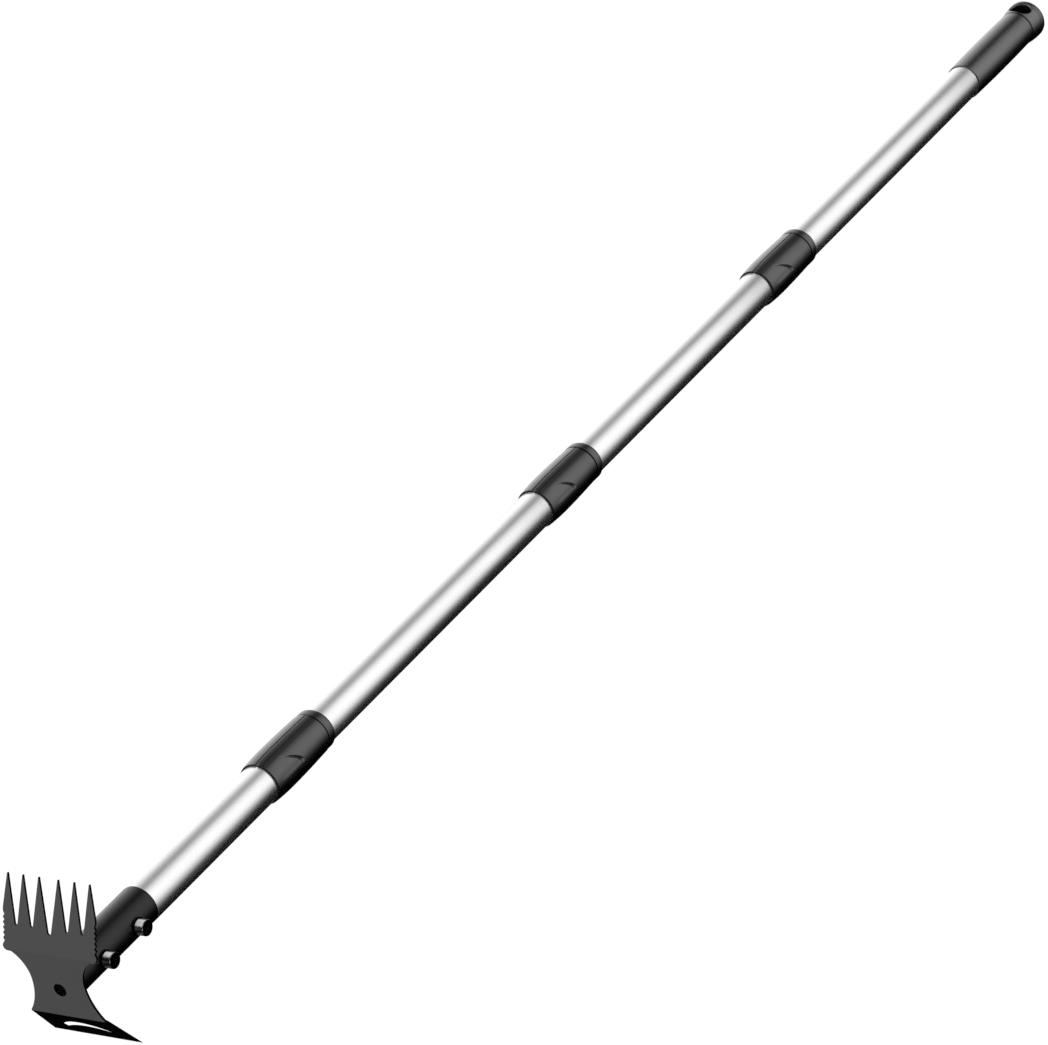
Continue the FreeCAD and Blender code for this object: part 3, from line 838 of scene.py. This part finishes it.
# ---------------------------------------------------------------- studio
# Brightness of the studio as the polished parts see it, by the angle about the pole in degrees.
# 0 is overhead, positive angles are on the pole's left and negative ones on its right.
STUDIO = (
    (-180, 0.0), (-158, 0.0), (-138, 0.02), (-121, 0.26), (-105, 0.98), (-90, 1.62), (-77, 1.92),
    (-63, 1.92), (-49, 1.84), (-36, 1.55), (-23, 0.95), (-12, 0.40), (-4, 0.20), (4, 0.20),
    (20, 0.68), (39, 1.40), (61, 1.75), (90, 1.8), (110, 1.2), (130, 0.25), (155, 0.0), (180, 0.0))
BRIGHTEST = 2.0
DOME = 0.12


def world_light():
    """A dim white dome, seen by polished parts as soft boxes with a gap overhead and by the
    camera as plain white."""
    world = bpy.data.worlds.new("studio")
    bpy.context.scene.world = world
    world.cycles.sampling_method = "NONE"
    world.use_nodes = True
    nodes, links = world.node_tree.nodes, world.node_tree.links
    split = nodes.new("ShaderNodeSeparateXYZ")
    links.new(nodes.new("ShaderNodeTexCoord").outputs["Generated"], split.inputs[0])
    around = nodes.new("ShaderNodeMath")
    around.operation = "ARCTAN2"
    links.new(split.outputs["Y"], around.inputs[0])
    links.new(split.outputs["Z"], around.inputs[1])
    share = nodes.new("ShaderNodeMath")
    share.operation = "MULTIPLY_ADD"
    share.inputs[1].default_value = 1 / TAU
    share.inputs[2].default_value = 0.5
    links.new(around.outputs[0], share.inputs[0])
    ramp = nodes.new("ShaderNodeValToRGB")
    stops = ramp.color_ramp.elements
    while len(stops) < len(STUDIO):
        stops.new(1.0)
    for stop, (angle, brightness) in zip(stops, STUDIO):
        stop.position = angle / 360 + 0.5
        level = brightness / BRIGHTEST
        stop.color = (level, level, level, 1.0)
    links.new(share.outputs[0], ramp.inputs[0])
    ahead = nodes.new("ShaderNodeMapRange")
    ahead.interpolation_type = "SMOOTHSTEP"
    ends = (("From Min", 0.79), ("From Max", 0.93), ("To Min", BRIGHTEST), ("To Max", 0.03))
    for name, value in ends:
        ahead.inputs[name].default_value = value
    links.new(split.outputs["X"], ahead.inputs["Value"])
    glossy = nodes.new("ShaderNodeBackground")
    links.new(ramp.outputs["Color"], glossy.inputs["Color"])
    links.new(ahead.outputs["Result"], glossy.inputs["Strength"])
    dome = nodes.new("ShaderNodeBackground")
    dome.inputs["Color"].default_value = (1, 1, 1, 1)
    dome.inputs["Strength"].default_value = DOME
    path = nodes.new("ShaderNodeLightPath")
    mixed = nodes.new("ShaderNodeMixShader")
    links.new(path.outputs["Is Glossy Ray"], mixed.inputs[0])
    links.new(dome.outputs[0], mixed.inputs[1])
    links.new(glossy.outputs[0], mixed.inputs[2])
    white = nodes.new("ShaderNodeBackground")
    white.inputs["Color"].default_value = (1, 1, 1, 1)
    seen = nodes.new("ShaderNodeMixShader")
    links.new(path.outputs["Is Camera Ray"], seen.inputs[0])
    links.new(mixed.outputs[0], seen.inputs[1])
    links.new(white.outputs[0], seen.inputs[2])
    links.new(seen.outputs[0], nodes["World Output"].inputs["Surface"])


def add_sun(name, strength, direction):
    """A wide, soft lamp shining from a direction given along the pole's axes. Polished parts
    don't mirror it."""
    lamp = bpy.data.lights.new(name, "SUN")
    lamp.energy = strength
    lamp.angle = math.radians(20)
    lamp.cycles.use_multiple_importance_sampling = False
    sun = bpy.data.objects.new(name, lamp)
    towards = POLE.to_3x3() @ Vector(direction)
    sun.matrix_world = towards.to_track_quat("Z", "Y").to_matrix().to_4x4()
    sun.visible_glossy = False
    bpy.context.scene.collection.objects.link(sun)


def make_floor():
    """A wide white floor that polished parts don't mirror."""
    mesh = bpy.data.meshes.new("floor")
    reach = 30.0
    corners = [(-reach, -reach, 0), (reach, -reach, 0), (reach, reach, 0), (-reach, reach, 0)]
    mesh.from_pydata(corners, [], [(0, 1, 2, 3)])
    floor = bpy.data.objects.new("floor", mesh)
    bpy.context.scene.collection.objects.link(floor)
    shader = Shader("floor", Roughness=1.0, Specular_IOR_Level=0.0, Emission_Strength=1.0)
    shader.bsdf.inputs["Emission Color"].default_value = (1.0, 1.0, 1.0, 1.0)
    shader.colour(shader.mix(shader.noise(3.0), grey(0.010), grey(0.014)))
    mesh.materials.append(shader.material)
    shader.material.cycles.emission_sampling = "NONE"
    floor.visible_glossy = False
    floor.visible_diffuse = False


def add_camera():
    """A long lens, ahead of the head on its right, aimed at the middle of the pole and rolled."""
    data = bpy.data.cameras.new("camera")
    data.sensor_width = 36.0
    data.sensor_fit = "HORIZONTAL"
    data.lens = 176.9
    data.clip_end = 100.0
    camera = bpy.data.objects.new("camera", data)
    place = Vector((-2285.95, -2275.42, 1946.79))
    aim = Vector((670.1, 0.0, -1.1))
    roll = math.radians(-13.946)
    forward = (aim - place).normalized()
    level = forward.cross(Vector((0, 0, 1))).normalized()
    over = level.cross(forward)
    right = level * math.cos(roll) + over * math.sin(roll)
    turn = Matrix((right, right.cross(forward), -forward)).transposed()
    frame_turn = POLE.to_3x3().normalized()
    camera.matrix_world = Matrix.Translation(POLE @ place) @ (frame_turn @ turn).to_4x4()
    bpy.context.scene.collection.objects.link(camera)
    bpy.context.scene.camera = camera


world_light()
add_sun("overhead", 12.0, (0.42, 0.08, 0.90))
add_sun("front", 3.75, (-0.981, 0.0, 0.195))
make_floor()
add_camera()
bpy.context.scene.view_settings.view_transform = "Standard"
